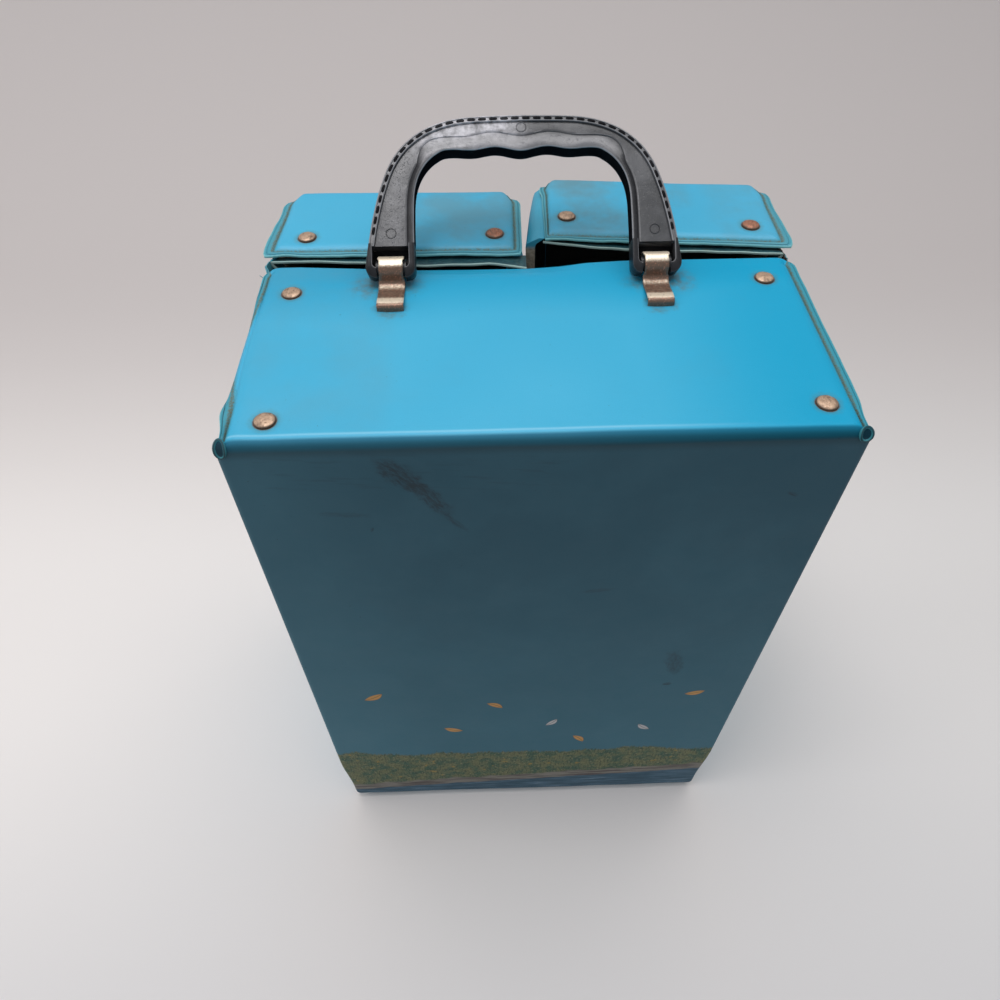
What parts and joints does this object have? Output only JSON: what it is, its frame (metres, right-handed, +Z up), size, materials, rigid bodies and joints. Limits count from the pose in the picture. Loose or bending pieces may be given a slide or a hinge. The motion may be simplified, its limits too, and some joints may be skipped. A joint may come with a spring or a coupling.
{
  "type": "doll case",
  "caption": "Upright vinyl-covered board case with hinged front doors, a swing latch, a folding carry handle, and a clothes rail and drawers inside for a doll.",
  "frame": {"origin": "on the base, at the middle of the closed case's footprint", "axes": "+Z up, -Y towards the printed rear panel, +Y towards the doors, +X to the right when facing the rear panel"},
  "size_m": [0.2498, 0.1984, 0.4082],
  "materials": {
    "sky_vinyl": "sky-blue vinyl over board, soft sheen, aged",
    "lining_paper": "matt off-white paperboard",
    "handle_plastic": "black moulded plastic, satin",
    "old_steel": "worn plated steel with rust specks",
    "cardboard": "brown cardboard",
    "elastic": "white woven elastic"
  },
  "bodies": {
    "case_body": {"body_wrap": "sky_vinyl", "body_lining": "lining_paper", "body_left_side_board": "cardboard", "body_left_side_cover": "sky_vinyl", "body_right_side_board": "cardboard", "body_right_side_cover": "sky_vinyl", "body_top_rivet_rear_left": "old_steel", "body_top_rivet_front_left": "old_steel", "body_top_rivet_rear_right": "old_steel", "body_top_rivet_front_right": "old_steel", "body_base_rivet_rear_left": "old_steel", "body_base_rivet_front_left": "old_steel", "body_base_rivet_rear_right": "old_steel", "body_base_rivet_front_right": "old_steel", "handle_clip_left": "old_steel", "handle_clip_right": "old_steel", "clothes_rail": "old_steel", "rail_socket_left": "handle_plastic", "rail_socket_right": "handle_plastic", "drawer_chest": "cardboard"},
    "handle": {"handle": "handle_plastic"},
    "lower_drawer": {"lower_drawer": "cardboard", "lower_drawer_knob": "old_steel"},
    "upper_drawer": {"upper_drawer": "cardboard", "upper_drawer_knob": "old_steel"},
    "left_door": {"left_door_wrap": "sky_vinyl", "left_door_outer_board": "cardboard", "left_door_inner_board": "sky_vinyl", "left_door_side_cover": "sky_vinyl", "left_door_lining": "lining_paper", "left_door_top_rivet_outer": "old_steel", "left_door_top_rivet_inner": "old_steel", "left_door_base_rivet_outer": "old_steel", "left_door_base_rivet_inner": "old_steel", "left_door_strap": "elastic", "left_door_strap_stud_outer": "old_steel", "left_door_strap_stud_inner": "old_steel", "latch_keeper_plate": "old_steel", "latch_keeper_stud": "old_steel"},
    "right_door": {"right_door_wrap": "sky_vinyl", "right_door_outer_board": "cardboard", "right_door_inner_board": "sky_vinyl", "right_door_side_cover": "sky_vinyl", "right_door_lining": "lining_paper", "right_door_top_rivet_outer": "old_steel", "right_door_top_rivet_inner": "old_steel", "right_door_base_rivet_outer": "old_steel", "right_door_base_rivet_inner": "old_steel", "right_door_strap": "elastic", "right_door_strap_stud_outer": "old_steel", "right_door_strap_stud_inner": "old_steel", "latch_plate": "old_steel", "latch_pin": "old_steel"},
    "latch_hook": {"latch_hook": "old_steel"}
  },
  "joints": [
    {"name": "left_door_hinge", "type": "hinge", "parent": "case_body", "child": "left_door", "pos_m": [-0.1225, 0.029, 0.1785], "axis": [0, 0, 1], "range_deg": [0, 165]},
    {"name": "right_door_hinge", "type": "hinge", "parent": "case_body", "child": "right_door", "pos_m": [0.1225, 0.029, 0.1785], "axis": [0, 0, -1], "range_deg": [-6, 160]},
    {"name": "latch_swing", "type": "hinge", "parent": "right_door", "child": "latch_hook", "pos_m": [0.02315, 0.10393, 0.205], "axis": [0.0872, 0.9962, 0], "range_deg": [-30, 90]},
    {"name": "handle_swing", "type": "hinge", "parent": "case_body", "child": "handle", "pos_m": [-0.0034, 0.0091, 0.3633], "axis": [-1, 0, 0], "range_deg": [-133, 34]},
    {"name": "lower_drawer_slide", "type": "slide", "parent": "case_body", "child": "lower_drawer", "axis": [0, 1, 0], "range_m": [0, 0.055]},
    {"name": "upper_drawer_slide", "type": "slide", "parent": "case_body", "child": "upper_drawer", "axis": [0, 1, 0], "range_m": [0, 0.055]}
  ]
}
